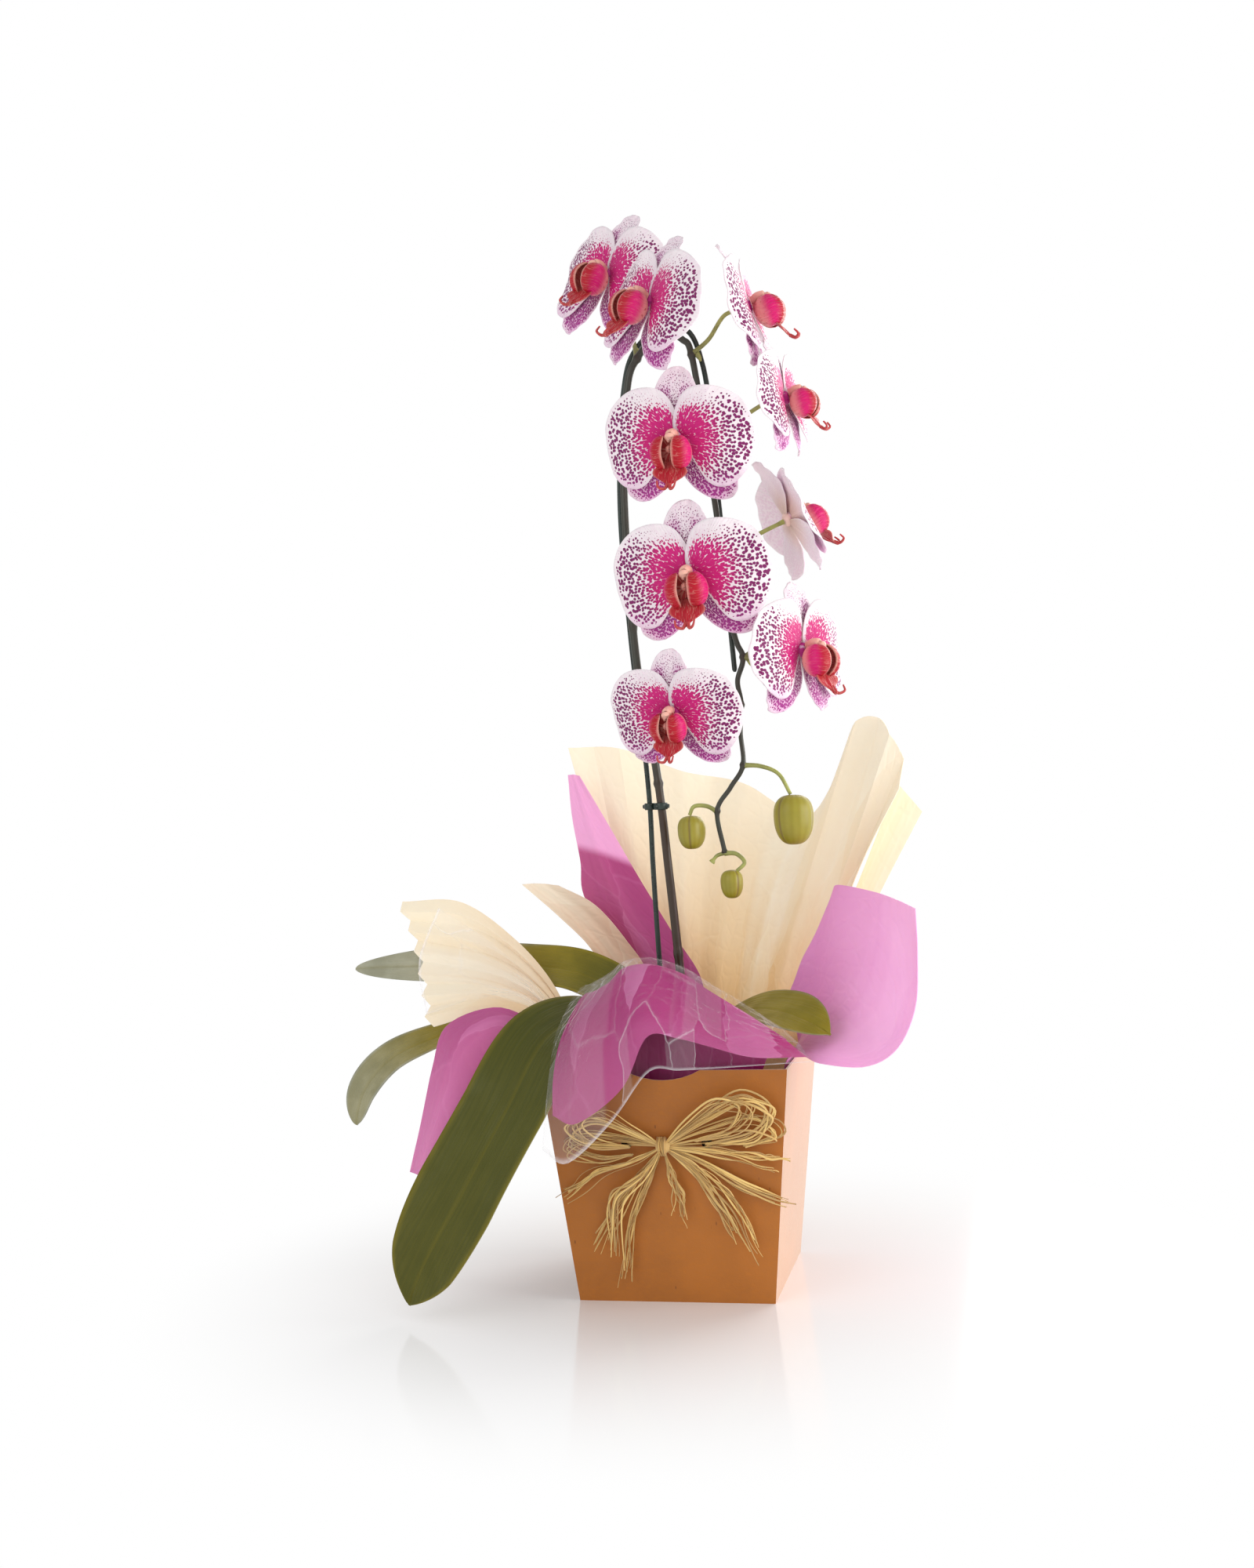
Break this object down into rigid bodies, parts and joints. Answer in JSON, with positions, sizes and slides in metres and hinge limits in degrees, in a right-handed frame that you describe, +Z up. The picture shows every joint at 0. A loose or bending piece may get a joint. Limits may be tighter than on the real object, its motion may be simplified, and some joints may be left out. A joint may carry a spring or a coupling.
{
  "type": "potted moth orchid in card box",
  "caption": "Moth orchid with one arching spike of spotted blooms, potted in a tapered card box dressed with coloured paper, clear film and a raffia bow.",
  "frame": {"origin": "centre of the card box's flat foot, on the table", "axes": "+Z up, the box's front panel with the bow faces -Y, the flower spike hangs over towards +X"},
  "size_m": [0.3884, 0.2367, 0.6775],
  "materials": {
    "kraft_card": "matt",
    "pot_plastic": "satin",
    "bark": "rough",
    "stem": "waxy",
    "stake_coating": "satin",
    "raffia": "matt",
    "petal": "waxy",
    "lip": "waxy",
    "bud": "waxy",
    "leaf": "waxy",
    "magenta_paper": "satin",
    "cream_paper": "satin",
    "clear_film": "clear gloss"
  },
  "bodies": {
    "root": {"kraft_box": "kraft_card", "nursery_pot": "pot_plastic", "bark_mix": "bark", "orchid_stem": "stem", "support_stake": "stake_coating", "raffia_bow": "raffia", "stem_clip": "stake_coating", "bloom_1_petals": "petal", "bloom_1_lip": "lip", "bloom_2_petals": "petal", "bloom_2_lip": "lip", "bloom_3_petals": "petal", "bloom_3_lip": "lip", "bloom_4_petals": "petal", "bloom_4_lip": "lip", "bloom_5_petals": "petal", "bloom_5_lip": "lip", "bloom_6_petals": "petal", "bloom_6_lip": "lip", "bloom_7_petals": "petal", "bloom_7_lip": "lip", "bloom_8_petals": "petal", "bloom_8_lip": "lip", "bloom_9_petals": "petal", "bloom_9_lip": "lip", "bud_big": "bud", "bud_middle": "bud", "bud_small": "bud", "leaf_front_left": "leaf", "leaf_left_high": "leaf", "leaf_left_low": "leaf", "leaf_right": "leaf", "magenta_front": "magenta_paper", "magenta_right": "magenta_paper", "magenta_left": "magenta_paper", "magenta_back_left": "magenta_paper", "cream_back": "cream_paper", "cream_right": "cream_paper", "cream_left": "cream_paper", "cream_roll": "cream_paper", "film_front": "clear_film", "film_left": "clear_film"}
  },
  "joints": []
}
